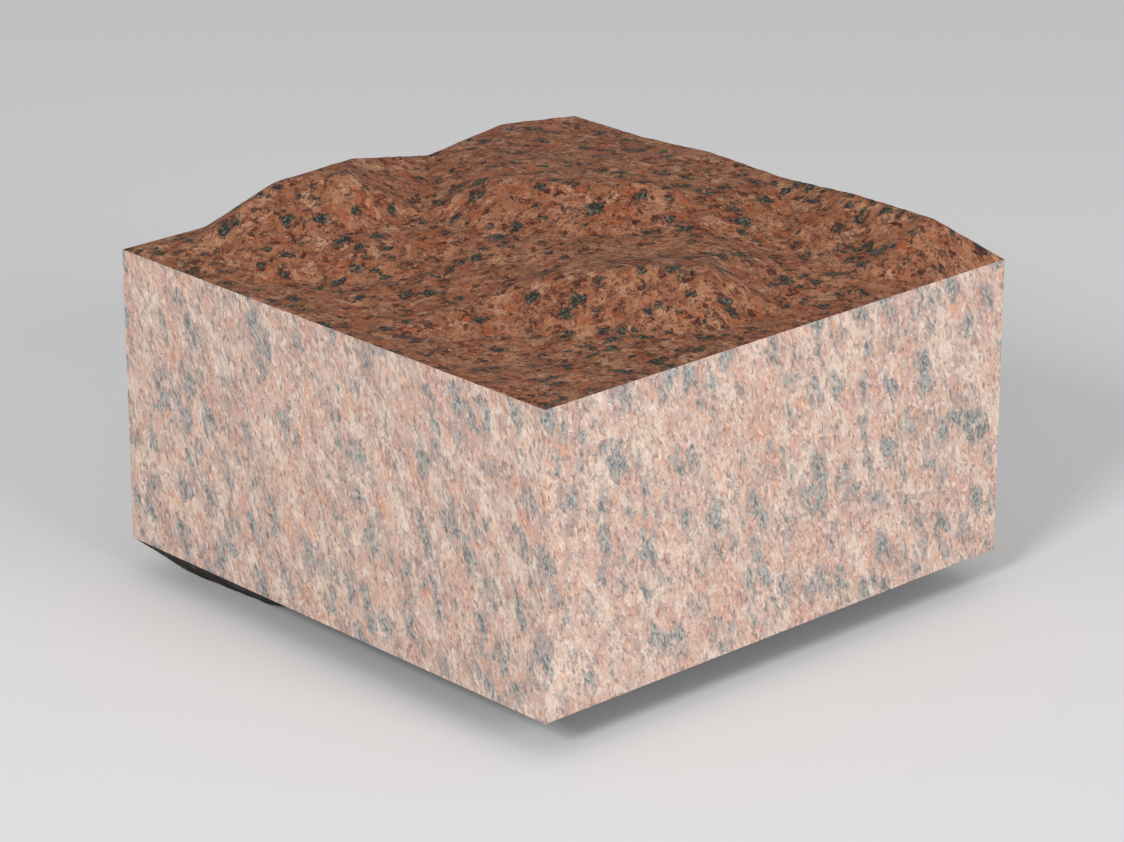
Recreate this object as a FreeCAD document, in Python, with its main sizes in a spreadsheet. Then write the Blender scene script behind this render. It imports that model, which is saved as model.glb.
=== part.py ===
import FreeCAD, Part
import os

# A granite sett is a small paving block. A bar of granite is sawn square and then split
# across into short lengths, so the four sides are flat and the top and the bed stay rough.
# Millimetres, +Z up. The origin is on the ground below the middle of the square plan.

# Driving sizes: the sawn bar, the height between its arrises, the depth to which the bed
# bulges, and how far the split runs past the bar before the sides are sawn.
SIZES = {
    "side_x": 100.0,
    "side_y": 100.0,
    "arris_height": 50.0,
    "bed_rise": 6.0,
    "overhang": 8.0,
}

# A split face breaks along square cells into flat facets. Each facet spans the middles of two
# neighbouring cells and one corner that they share; along the arris it spans two corners and
# one middle. Spot heights above the top's arris, from the back row to the front row, each row
# from left to right: first at the corners between the cells, then at their middles.
TOP_CORNERS = (
    (6.0, 6.5, 6.5, 3.5, 2.0),
    (8.0, 8.0, 8.5, 4.0, 1.5),
    (4.5, 8.5, 3.5, 4.0, 6.0),
    (9.5, 2.5, 2.0, 4.5, -0.5),
    (3.0, -1.5, -1.0, -1.5, -1.5),
)
TOP_MIDDLES = (
    (5.5, 5.5, 6.5, 6.0, 7.0, 7.0),
    (7.5, 7.0, 7.5, 6.0, 1.5, 0.5),
    (5.5, 8.5, 8.5, 3.5, 4.5, -0.5),
    (8.5, 3.0, 3.0, 3.5, 6.0, -0.5),
    (8.0, 3.0, 0.0, 1.0, -1.5, -0.5),
    (1.5, -1.0, -0.5, -1.0, -1.5, -0.5),
)

# Spot depths below the bed's arris, in the same order. The deepest spots reach past the
# ground, where the bar's end trims them to level feet.
BED_CORNERS = (
    (4.0, 4.5, 3.0, 4.0, 3.5),
    (4.5, 4.0, 3.0, 4.5, 4.0),
    (3.0, 2.5, 4.0, 3.5, 3.0),
    (3.5, 3.0, 2.5, 4.0, 3.5),
    (7.0, 3.5, 2.0, 3.5, 2.5),
)
BED_MIDDLES = (
    (2.0, 3.0, 3.5, 2.5, 3.0, 2.0),
    (3.0, 7.5, 3.0, 3.5, 7.5, 3.0),
    (2.5, 3.5, 2.0, 4.5, 3.0, 2.5),
    (3.0, 2.0, 4.0, 2.5, 4.5, 2.0),
    (4.0, 3.5, 2.5, 3.0, 7.5, 3.0),
    (8.0, 7.0, 2.0, 1.5, 2.0, 1.5),
)

CELLS = len(TOP_MIDDLES)
UPWARD = 1
DOWNWARD = -1

doc = FreeCAD.newDocument("GraniteSett")
sheet = doc.addObject("Spreadsheet::Sheet", "Sizes")


def enter(cell, alias, number):
    """Write a plain number into a cell of the sheet and name the cell."""
    sheet.set(cell, str(number))
    sheet.setAlias(cell, alias)


def enter_spots(name, spots, first_column, first_row):
    """Write one table of spot heights into the sheet as a block of cells."""
    for line, heights in enumerate(spots):
        for place, height in enumerate(heights):
            column = chr(ord(first_column) + place)
            enter(f"{column}{first_row + line}", f"{name}_{line}_{place}", height)


def spot_rows(name, count):
    """One table of spot heights as it stands in the sheet, with the front row first."""
    rows = [[sheet.get(f"{name}_{line}_{place}") for place in range(count)] for line in range(count)]
    return rows[::-1]


def split_face(face, level, direction):
    """Flat facets of one split face, and the border they leave along the arris, all at one level."""
    lines_x = [sheet.side_x * (line / CELLS - 1 / 2) for line in range(CELLS + 1)]
    lines_y = [sheet.side_y * (line / CELLS - 1 / 2) for line in range(CELLS + 1)]
    arris = [0.0] * (CELLS + 1)
    heights = [arris, *([0.0, *row, 0.0] for row in spot_rows(f"{face}_corner", CELLS - 1)), arris]
    net = []
    for y, row in zip(lines_y, heights):
        net.append([FreeCAD.Vector(x, y, level + direction * height) for x, height in zip(lines_x, row)])
    middles = {}
    for line, row in enumerate(spot_rows(f"{face}_middle", CELLS)):
        for place, height in enumerate(row):
            middle = (net[line][place] + net[line + 1][place + 1]) / 2
            middle.z = level + direction * height
            middles[line, place] = middle
    facets = []
    for (line, place), middle in middles.items():
        near_left, near_right = net[line][place:place + 2]
        far_left, far_right = net[line + 1][place:place + 2]
        ring = [near_left, near_right, far_right, far_left, near_left]
        beyond = [(line - 1, place), (line, place + 1), (line + 1, place), (line, place - 1)]
        for start, end, neighbour in zip(ring, ring[1:], beyond):
            across = middles.get(neighbour, end)
            facets.append(Part.Face(Part.makePolygon([start, across, middle, start])))
    left = [row[0] for row in net]
    right = [row[-1] for row in net]
    border = net[0][:-1] + right[:-1] + net[-1][:0:-1] + left[::-1]
    return facets, Part.makePolygon(border[::-1])


def split_stone():
    """Stone between the two splits, an overhang wider than the bar on every side."""
    half_x = sheet.side_x / 2 + sheet.overhang
    half_y = sheet.side_y / 2 + sheet.overhang
    plan = [(-half_x, -half_y), (half_x, -half_y), (half_x, half_y), (-half_x, half_y), (-half_x, -half_y)]
    faces = []
    rims = []
    for face, level, direction in (("top", sheet.arris_height, UPWARD), ("bed", 0.0, DOWNWARD)):
        facets, border = split_face(face, level, direction)
        rim = [FreeCAD.Vector(x, y, level) for x, y in plan]
        split = [*facets, Part.Face([Part.makePolygon(rim), border])]
        faces += split if direction == UPWARD else [piece.reversed() for piece in split]
        rims.append(rim)
    top, bed = rims
    for corner in range(len(plan) - 1):
        wall = [bed[corner], bed[corner + 1], top[corner + 1], top[corner], bed[corner]]
        faces.append(Part.Face(Part.makePolygon(wall)))
    shell = Part.makeShell(faces)
    shell.sewShape()
    return Part.makeSolid(shell)


# The sheet holds the driving sizes in column B and the four tables of spot heights beside them.
for number, (alias, value) in enumerate(SIZES.items(), start=1):
    sheet.set(f"A{number}", alias)
    enter(f"B{number}", alias, value)
enter_spots("top_corner", TOP_CORNERS, "D", 1)
enter_spots("top_middle", TOP_MIDDLES, "J", 1)
enter_spots("bed_corner", BED_CORNERS, "D", CELLS + 2)
enter_spots("bed_middle", BED_MIDDLES, "J", CELLS + 2)
doc.recompute()

# The sawn bar stands on end on the ground and runs on well past the split top.
bar = doc.addObject("Part::Box", "SawnBar")
bar.setExpression("Length", "Sizes.side_x")
bar.setExpression("Width", "Sizes.side_y")
bar.setExpression("Height", "Sizes.bed_rise + Sizes.arris_height + Sizes.side_x")
bar.setExpression("Placement.Base.x", "-Sizes.side_x / 2")
bar.setExpression("Placement.Base.y", "-Sizes.side_y / 2")

# The stone between the two splits stands on its lowest lumps.
stone = doc.addObject("Part::Feature", "SplitStone")
stone.Shape = split_stone()
stone.setExpression("Placement.Base.z", "Sizes.bed_rise")

# The sett is what the bar and the split stone have in common.
sett = doc.addObject("Part::Common", "Sett")
sett.Base = bar
sett.Tool = stone
sett.Label = "granite_sett"
doc.recompute()

for item in doc.Objects:
    if "Invalid" in item.State or "Error" in item.State:
        raise RuntimeError(f"{item.Label} did not build: {item.State}")
if sett.Shape.isNull() or not sett.Shape.isValid():
    raise RuntimeError(f"{sett.Label} has no valid shape")

os.makedirs("parts", exist_ok=True)
sett.Shape.exportStep(os.path.join("parts", f"{sett.Label}.step"))
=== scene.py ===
import math

import bpy
import numpy as np
from mathutils import Matrix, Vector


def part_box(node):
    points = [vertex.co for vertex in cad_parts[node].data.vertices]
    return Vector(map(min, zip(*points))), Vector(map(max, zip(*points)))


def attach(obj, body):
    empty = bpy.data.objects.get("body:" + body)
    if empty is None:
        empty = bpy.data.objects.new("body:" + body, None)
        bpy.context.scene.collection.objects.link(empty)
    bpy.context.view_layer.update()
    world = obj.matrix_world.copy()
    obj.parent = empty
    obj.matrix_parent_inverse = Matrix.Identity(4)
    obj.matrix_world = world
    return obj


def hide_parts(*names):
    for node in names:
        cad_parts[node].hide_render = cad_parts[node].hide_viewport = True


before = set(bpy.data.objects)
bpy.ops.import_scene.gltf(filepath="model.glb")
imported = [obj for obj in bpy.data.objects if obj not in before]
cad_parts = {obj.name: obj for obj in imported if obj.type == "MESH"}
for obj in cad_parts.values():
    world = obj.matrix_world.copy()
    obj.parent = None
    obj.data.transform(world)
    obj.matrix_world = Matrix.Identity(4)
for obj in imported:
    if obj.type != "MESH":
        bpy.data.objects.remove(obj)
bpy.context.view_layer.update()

# The sett is one block of pink granite. Its four sides are sawn flat from a square bar, and its top and
# bed are the rough faces left where the bar was split across: flat facets, finely uneven where the
# break ran along the crystals of the stone.

MM = 0.001
SPLIT_LINES = 180
SIDE_LINES = 24
EDGE_CROWDING = 0.6
PROBE_CLEARANCE = 20 * MM
PROBE_INSET = 0.9999
CREASE_PASSES = 1
CRYSTAL_PITCH = 2.6 * MM
CRYSTAL_DEPTH = 0.08 * MM
CRYSTAL_TILT = 0.08
CRYSTAL_FADE = 2.5 * MM
TOP_SEED = 11
BED_SEED = 12
SHARP_EDGE = math.radians(38)

low, high = (np.array(corner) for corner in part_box("granite_sett"))


def crowded_lines(start, end, count):
    """Places from start to end, closer together near both ends: t - crowding * sin(2 pi t) / (2 pi)."""
    t = np.linspace(0.0, 1.0, count + 1)
    eased = t - EDGE_CROWDING * np.sin(2 * np.pi * t) / (2 * np.pi)
    return start + (end - start) * eased


def probe_heights(x, y, from_above):
    """Heights of the solid's split face: a flat net falls straight onto it and stays where it lands."""
    start = high[2] + PROBE_CLEARANCE if from_above else low[2] - PROBE_CLEARANCE
    net = np.stack([x * PROBE_INSET, y * PROBE_INSET, np.full_like(x, start)], axis=-1)
    mesh = bpy.data.meshes.new("probe")
    mesh.vertices.add(x.size)
    mesh.vertices.foreach_set("co", net.ravel())
    probe = bpy.data.objects.new("probe", mesh)
    bpy.context.scene.collection.objects.link(probe)
    fall = probe.modifiers.new("fall", "SHRINKWRAP")
    fall.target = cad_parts["granite_sett"]
    fall.wrap_method = "PROJECT"
    fall.use_project_z = True
    fall.use_negative_direction = from_above
    fall.use_positive_direction = not from_above
    landed = np.empty(x.size * 3)
    graph = bpy.context.evaluated_depsgraph_get()
    probe.evaluated_get(graph).data.vertices.foreach_get("co", landed)
    bpy.data.objects.remove(probe)
    bpy.data.meshes.remove(mesh)
    return landed.reshape(*x.shape, 3)[..., 2]


def softened(heights):
    """Creases rounded: each pass takes half of a height and a quarter of either neighbour, both ways."""
    soft = heights.copy()
    for _ in range(CREASE_PASSES):
        soft[1:-1] = (soft[:-2] + 2 * soft[1:-1] + soft[2:]) / 4
        soft[:, 1:-1] = (soft[:, :-2] + 2 * soft[:, 1:-1] + soft[:, 2:]) / 4
    return soft


def crystal_break(x, y, seed):
    """Depth of the break from 0 to 1. One crystal stands somewhere in each square cell, and a point lies
    on the plane of its nearest crystal: the crystal's lift, plus its lean times the way to the point."""
    cells_x, cells_y = (np.floor((axis - axis.min()) / CRYSTAL_PITCH).astype(int) + 1 for axis in (x, y))
    crystals = np.random.default_rng(seed).random((cells_x.max() + 2, cells_y.max() + 2, 5))
    nearest = np.full(x.shape, np.inf)
    depth = np.zeros(x.shape)
    for step_x in (-1, 0, 1):
        for step_y in (-1, 0, 1):
            near_x, near_y = cells_x + step_x, cells_y + step_y
            jitter_x, jitter_y, lift, lean_x, lean_y = np.moveaxis(crystals[near_x, near_y], -1, 0)
            away_x = x - x.min() - (near_x - 1 + jitter_x) * CRYSTAL_PITCH
            away_y = y - y.min() - (near_y - 1 + jitter_y) * CRYSTAL_PITCH
            distance = np.hypot(away_x, away_y)
            slope = (lean_x - 0.5) * away_x + (lean_y - 0.5) * away_y
            plane = lift + 2 * CRYSTAL_TILT / CRYSTAL_DEPTH * slope
            depth = np.where(distance < nearest, plane, depth)
            nearest = np.minimum(distance, nearest)
    return np.clip(depth, 0.0, 1.0)


lines_x = crowded_lines(low[0], high[0], SPLIT_LINES)
lines_y = crowded_lines(low[1], high[1], SPLIT_LINES)
net_x, net_y = np.meshgrid(lines_x, lines_y, indexing="ij")
to_edge = np.minimum.reduce([net_x - low[0], high[0] - net_x, net_y - low[1], high[1] - net_y])
break_depth = CRYSTAL_DEPTH * np.clip(to_edge / CRYSTAL_FADE, 0.0, 1.0)
top = softened(probe_heights(net_x, net_y, from_above=True))
top -= break_depth * crystal_break(net_x, net_y, TOP_SEED)
bed = softened(probe_heights(net_x, net_y, from_above=False))
bed += break_depth * crystal_break(net_x, net_y, BED_SEED)


def lattice_quads(first, second, fixed_axis, fixed, flipped):
    """Quads over one face of the block: the lattice numbers along X, along Y and up of their corners."""
    numbers = list(np.meshgrid(first, second, indexing="ij"))
    numbers.insert(fixed_axis, np.full(numbers[0].shape, fixed))
    sheet = np.stack(numbers, axis=-1)
    corners = [sheet[:-1, :-1], sheet[1:, :-1], sheet[1:, 1:], sheet[:-1, 1:]]
    if flipped:
        corners.reverse()
    return np.stack(corners, axis=2).reshape(-1, 4, 3)


across = np.arange(SPLIT_LINES + 1)
upward = np.arange(SIDE_LINES + 1)
top_quads = lattice_quads(across, across, 2, SIDE_LINES, flipped=False)
bed_quads = lattice_quads(across, across, 2, 0, flipped=True)
sawn_quads = np.concatenate([
    lattice_quads(across, upward, 1, 0, flipped=False),
    lattice_quads(across, upward, 1, SPLIT_LINES, flipped=True),
    lattice_quads(across, upward, 0, SPLIT_LINES, flipped=False),
    lattice_quads(across, upward, 0, 0, flipped=True),
])
corner_numbers = np.concatenate([top_quads, bed_quads, sawn_quads]).reshape(-1, 3)
lattice, quads = np.unique(corner_numbers, axis=0, return_inverse=True)
along_x, along_y, up = lattice.T
share_up = up / SIDE_LINES
heights = bed[along_x, along_y] * (1 - share_up) + top[along_x, along_y] * share_up
points = np.stack([lines_x[along_x], lines_y[along_y], heights], axis=-1)
quads = quads.reshape(-1, 4)

stone_mesh = bpy.data.meshes.new("sett_stone")
stone_mesh.vertices.add(len(points))
stone_mesh.vertices.foreach_set("co", points.ravel())
stone_mesh.loops.add(quads.size)
stone_mesh.loops.foreach_set("vertex_index", quads.ravel())
stone_mesh.polygons.add(len(quads))
stone_mesh.polygons.foreach_set("loop_start", np.arange(0, quads.size, 4))
face_counts = [len(top_quads), len(bed_quads), len(sawn_quads)]
stone_mesh.polygons.foreach_set("material_index", np.repeat([0, 1, 2], face_counts))
stone_mesh.update(calc_edges=True)
stone_mesh.validate()
stone_mesh.polygons.foreach_set("use_smooth", np.ones(len(quads), bool))
stone_mesh.set_sharp_from_angle(angle=SHARP_EDGE)
stone = bpy.data.objects.new("sett_stone", stone_mesh)
bpy.context.scene.collection.objects.link(stone)

# The grain is made of cloudy patterns, and each cloud's number picks a pattern of its own.
CLOUD_DETAIL = 4.0
CLOUD_ROUGHNESS = 0.6
CLOUD_SPACING = 7.3
FIRST_VEIN_CLOUD = 20
MICA_EDGE_CLOUD = 30
GLINT_CLOUD = 31
GLINT_DETAIL = 2.0
BUMP_CLOUD = 32
BUMP_SIZE = 0.7
BUMP_DEPTH = 0.2 * MM
MICA_PRESENT_STEP = 0.02
STONE_SPECULAR = 0.25


def colour(red, green, blue):
    """A colour given by its 0 to 255 display values, with the display curve undone as shaders need it."""
    display = np.array([red, green, blue]) / 255
    linear = np.where(display <= 0.04045, display / 12.92, ((display + 0.055) / 1.055) ** 2.4)
    return (*linear, 1.0)


def add_node(tree, kind, inputs, **settings):
    """Add a shader node, set its properties, and link or set each input by name or number."""
    made = tree.nodes.new(kind)
    for name, value in settings.items():
        setattr(made, name, value)
    for name, value in inputs.items():
        if isinstance(value, bpy.types.NodeSocket):
            tree.links.new(value, made.inputs[name])
        else:
            made.inputs[name].default_value = value
    return made


def cloud(tree, place, size, number, detail=CLOUD_DETAIL):
    """Cloudy value around 0.5 in patches about size millimetres across, another for each number."""
    inputs = {
        "Vector": place,
        "W": CLOUD_SPACING * number,
        "Scale": 1 / size,
        "Detail": detail,
        "Roughness": CLOUD_ROUGHNESS,
    }
    return add_node(tree, "ShaderNodeTexNoise", inputs, noise_dimensions="4D").outputs[0]


def rise(tree, value, start, end):
    """Smooth rise from 0 to 1 while the value goes from start to end."""
    inputs = {"Value": value, "From Min": start, "From Max": end}
    return add_node(tree, "ShaderNodeMapRange", inputs, interpolation_type="SMOOTHSTEP").outputs[0]


def reckon(tree, operation, *values):
    """One step of arithmetic on values."""
    return add_node(tree, "ShaderNodeMath", dict(enumerate(values)), operation=operation).outputs[0]


def tinted(tree, under, over, *shares):
    """Colour that goes from under to over as the product of the shares goes from 0 to 1."""
    share = shares[0]
    for other in shares[1:]:
        share = reckon(tree, "MULTIPLY", share, other)
    return add_node(tree, "ShaderNodeMix", {0: share, 6: under, 7: over}, data_type="RGBA").outputs[2]


def grain_place(tree, finish):
    """Place in the stone in millimetres, divided by the grain's stretch, moved sideways by the lean times
    the height, and then moved by a noise around 0 times the wander."""
    place = add_node(tree, "ShaderNodeTexCoord", {}).outputs["Object"]
    scale = tuple(1 / (MM * stretch) for stretch in finish["stretch"])
    place = add_node(tree, "ShaderNodeMapping", {"Vector": place, "Scale": scale}).outputs[0]
    height = add_node(tree, "ShaderNodeSeparateXYZ", {0: place}).outputs["Z"]
    lean = {0: height, 1: (finish["lean"], finish["lean"], 0.0), 2: place}
    place = add_node(tree, "ShaderNodeVectorMath", lean, operation="MULTIPLY_ADD").outputs[0]
    inputs = {
        "Vector": place,
        "Scale": 1 / finish["wander_size"],
        "Detail": CLOUD_DETAIL,
        "Roughness": CLOUD_ROUGHNESS,
    }
    noise = add_node(tree, "ShaderNodeTexNoise", inputs).outputs["Color"]
    centred = {0: noise, 1: (0.5,) * 3}
    centred = add_node(tree, "ShaderNodeVectorMath", centred, operation="SUBTRACT").outputs[0]
    moved = {0: centred, 1: (finish["wander"],) * 3, 2: place}
    return add_node(tree, "ShaderNodeVectorMath", moved, operation="MULTIPLY_ADD").outputs[0]


def mica_spots(tree, place, mica):
    """Distance outside the nearest flake's ragged edge in millimetres, and 1 where that flake is present.

    A cell's random pick sets its flake's radius, and cells whose pick is too low have no flake. The edge
    is the distance from the flake's middle, less the radius, plus a cloud around 0 times the nibble."""
    cell = add_node(tree, "ShaderNodeTexVoronoi", {"Vector": place, "Scale": 1 / mica["pitch"]}).outputs
    pick = add_node(tree, "ShaderNodeSeparateColor", {0: cell["Color"]}).outputs[0]
    absent = 1 - mica["share"]
    radius = reckon(tree, "MULTIPLY", rise(tree, pick, absent, 1.0), mica["radius"])
    outside = reckon(tree, "SUBTRACT", reckon(tree, "MULTIPLY", cell["Distance"], mica["pitch"]), radius)
    nibble = reckon(tree, "SUBTRACT", cloud(tree, place, mica["nibble_size"], MICA_EDGE_CLOUD), 0.5)
    outside = reckon(tree, "MULTIPLY_ADD", nibble, mica["nibble"], outside)
    return outside, rise(tree, pick, absent, absent + MICA_PRESENT_STEP)


def granite(name, finish):
    """Granite: soft patches of feldspar, thin veins, and ragged mica flakes with a stain round each."""
    material = bpy.data.materials.new(name)
    material.use_nodes = True
    tree = material.node_tree
    tree.nodes.clear()
    place = grain_place(tree, finish)
    stone_colour = finish["ground"]
    for number, (tint, size, start, end, share) in enumerate(finish["patches"]):
        patch = rise(tree, cloud(tree, place, size, number), start, end)
        stone_colour = tinted(tree, stone_colour, tint, patch, share)
    for number, (tint, size, width, share) in enumerate(finish["veins"], start=FIRST_VEIN_CLOUD):
        away = reckon(tree, "ABSOLUTE", reckon(tree, "SUBTRACT", cloud(tree, place, size, number), 0.5))
        stone_colour = tinted(tree, stone_colour, tint, rise(tree, away, width, 0.0), share)
    mica = finish["mica"]
    outside, present = mica_spots(tree, place, mica)
    stain = rise(tree, outside, mica["stain_reach"], 0.0)
    stone_colour = tinted(tree, stone_colour, mica["stain"], stain, present, mica["stain_share"])
    flake = rise(tree, outside, mica["soft"], -mica["soft"])
    glint = cloud(tree, place, mica["glint_size"], GLINT_CLOUD, GLINT_DETAIL)
    glint = rise(tree, glint, mica["glint_start"], mica["glint_end"])
    flake_colour = tinted(tree, mica["tint"], mica["glint"], glint)
    stone_colour = tinted(tree, stone_colour, flake_colour, flake, present, mica["cover"])
    bump = {
        "Height": cloud(tree, place, BUMP_SIZE, BUMP_CLOUD),
        "Strength": finish["bump"],
        "Distance": BUMP_DEPTH,
    }
    shader = {
        "Base Color": stone_colour,
        "Roughness": finish["roughness"],
        "Specular IOR Level": STONE_SPECULAR,
        "Normal": add_node(tree, "ShaderNodeBump", bump).outputs[0],
    }
    principled = add_node(tree, "ShaderNodeBsdfPrincipled", shader)
    add_node(tree, "ShaderNodeOutputMaterial", {"Surface": principled.outputs[0]})
    return material


# Sizes are in millimetres. A patch is its tint, its size, the cloud values where it starts and where it
# is full, and its share. A vein is its tint, its size, its half width as a cloud value, and its share.
split_finish = {
    "stretch": (1.0, 1.0, 40.0),
    "lean": 0.0,
    "wander": 1.8,
    "wander_size": 2.0,
    "ground": colour(156, 102, 74),
    "patches": [
        (colour(180, 126, 95), 3.8, 0.46, 0.56, 0.80),
        (colour(165, 88, 52), 2.8, 0.51, 0.60, 0.70),
        (colour(198, 151, 120), 2.4, 0.55, 0.61, 0.65),
        (colour(105, 52, 39), 2.0, 0.54, 0.61, 0.55),
        (colour(64, 34, 29), 0.7, 0.54, 0.63, 0.50),
        (colour(56, 21, 22), 1.7, 0.58, 0.62, 0.80),
    ],
    "veins": [
        (colour(54, 28, 23), 2.8, 0.019, 0.80),
        (colour(54, 28, 23), 1.6, 0.015, 0.65),
    ],
    "mica": {
        "pitch": 3.3,
        "share": 0.75,
        "radius": 1.1,
        "nibble": 9.0,
        "nibble_size": 1.2,
        "soft": 0.35,
        "cover": 0.92,
        "tint": colour(36, 42, 38),
        "glint": colour(116, 122, 108),
        "glint_size": 0.4,
        "glint_start": 0.49,
        "glint_end": 0.66,
        "stain": colour(62, 32, 27),
        "stain_reach": 0.9,
        "stain_share": 0.6,
    },
    "bump": 0.3,
    "roughness": 0.75,
}
# The bed keeps the split finish but with near-black colours: painted shade for the dark space under the
# block, not the stone's own colour.
painted_shade_bed_finish = {
    **split_finish,
    "ground": colour(24, 19, 17),
    "patches": [
        (colour(32, 25, 22), 4.0, 0.45, 0.58, 0.80),
        (colour(14, 11, 10), 2.4, 0.52, 0.62, 0.70),
    ],
    "veins": [],
}
sawn_finish = {
    "stretch": (1.0, 1.0, 2.0),
    "lean": 0.5,
    "wander": 1.6,
    "wander_size": 1.6,
    "ground": colour(208, 178, 163),
    "patches": [
        (colour(232, 211, 193), 4.0, 0.44, 0.60, 0.75),
        (colour(210, 162, 143), 3.0, 0.48, 0.62, 0.65),
        (colour(164, 144, 141), 2.0, 0.52, 0.64, 0.60),
        (colour(218, 158, 126), 2.2, 0.55, 0.65, 0.60),
        (colour(240, 224, 211), 0.6, 0.50, 0.64, 0.65),
        (colour(122, 98, 94), 0.6, 0.52, 0.65, 0.65),
    ],
    "veins": [
        (colour(138, 112, 107), 2.0, 0.022, 0.40),
    ],
    "mica": {
        "pitch": 3.4,
        "share": 0.78,
        "radius": 1.4,
        "nibble": 10.0,
        "nibble_size": 1.1,
        "soft": 0.9,
        "cover": 0.85,
        "tint": colour(98, 106, 105),
        "glint": colour(184, 188, 185),
        "glint_size": 0.38,
        "glint_start": 0.40,
        "glint_end": 0.62,
        "stain": colour(156, 140, 138),
        "stain_reach": 1.4,
        "stain_share": 0.45,
    },
    "bump": 0.06,
    "roughness": 0.85,
}
stone_mesh.materials.append(granite("granite_split", split_finish))
# The bed's material is the near-black painted shade of the underside.
stone_mesh.materials.append(granite("granite_bed_painted_shade", painted_shade_bed_finish))
stone_mesh.materials.append(granite("granite_sawn", sawn_finish))
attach(stone, "root")
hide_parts("granite_sett")

# The floor is a plain pale sheet, matt and without a seam. It lies under the block and is wide enough
# to fill the picture behind it.

FLOOR_HALF = 3.0
FLOOR_CORNERS = ((-1, -1), (1, -1), (1, 1), (-1, 1))
FLOOR_COLOUR = colour(240, 240, 241)
FLOOR_ROUGHNESS = 0.9

floor_mesh = bpy.data.meshes.new("studio_floor")
floor_points = [(x * FLOOR_HALF, y * FLOOR_HALF, 0.0) for x, y in FLOOR_CORNERS]
floor_mesh.from_pydata(floor_points, [], [(0, 1, 2, 3)])
floor = bpy.data.objects.new("studio_floor", floor_mesh)
bpy.context.scene.collection.objects.link(floor)
floor_material = bpy.data.materials.new("studio_floor")
floor_material.use_nodes = True
floor_shader = floor_material.node_tree.nodes["Principled BSDF"].inputs
floor_shader["Base Color"].default_value = FLOOR_COLOUR
floor_shader["Roughness"].default_value = FLOOR_ROUGHNESS
floor_shader["Specular IOR Level"].default_value = 0.0
floor_mesh.materials.append(floor_material)

# Soft studio light: one square lamp stands before each visible side, the left one a little towards the
# camera, and an even grey surround fills the shadows.

LAMPS = {
    "left": {"place": (0.319, -0.877, 0.583), "side": 0.25, "watts": 5.1},
    "right": {"place": (1.034, 0.0, 0.376), "side": 0.5, "watts": 4.6},
}
SURROUND = 0.43


def stand(thing, place, back):
    """Stand a lamp or camera at a place, looking against the back direction, with its X axis level."""
    back = np.array(back) / np.linalg.norm(back)
    right = np.cross([0.0, 0.0, 1.0], back)
    right = right / np.linalg.norm(right)
    matrix = np.eye(4)
    matrix[:3] = np.stack([right, np.cross(back, right), back, place], axis=1)
    thing.matrix_world = Matrix(matrix.tolist())


for name, lamp in LAMPS.items():
    light = bpy.data.lights.new(name, "AREA")
    light.size = lamp["side"]
    light.energy = lamp["watts"]
    holder = bpy.data.objects.new(name, light)
    bpy.context.scene.collection.objects.link(holder)
    stand(holder, lamp["place"], lamp["place"])
world = bpy.data.worlds.new("surround")
world.use_nodes = True
world.node_tree.nodes["Background"].inputs["Color"].default_value = (1.0, 1.0, 1.0, 1.0)
world.node_tree.nodes["Background"].inputs["Strength"].default_value = SURROUND
bpy.context.scene.world = world
bpy.context.scene.view_settings.view_transform = "Standard"

# The camera stands in front of the corner between the two visible sides and looks down on the block
# through a long lens.

AZIMUTH = math.radians(46.99)
ELEVATION = math.radians(20.82)
DISTANCE = 697.0 * MM
AIM = np.array([0.863, -0.805, 27.897]) * MM
FOCAL_LENGTH = 137.6
SENSOR_WIDTH = 36.0
NEAREST_SEEN = 0.01

lens = bpy.data.cameras.new("photo_camera")
lens.lens = FOCAL_LENGTH
lens.sensor_width = SENSOR_WIDTH
lens.clip_start = NEAREST_SEEN
camera = bpy.data.objects.new("photo_camera", lens)
bpy.context.scene.collection.objects.link(camera)
level = np.array([math.sin(AZIMUTH), -math.cos(AZIMUTH), 0.0]) * math.cos(ELEVATION)
toward_camera = level + np.array([0.0, 0.0, math.sin(ELEVATION)])
stand(camera, AIM + toward_camera * DISTANCE, toward_camera)
bpy.context.scene.camera = camera
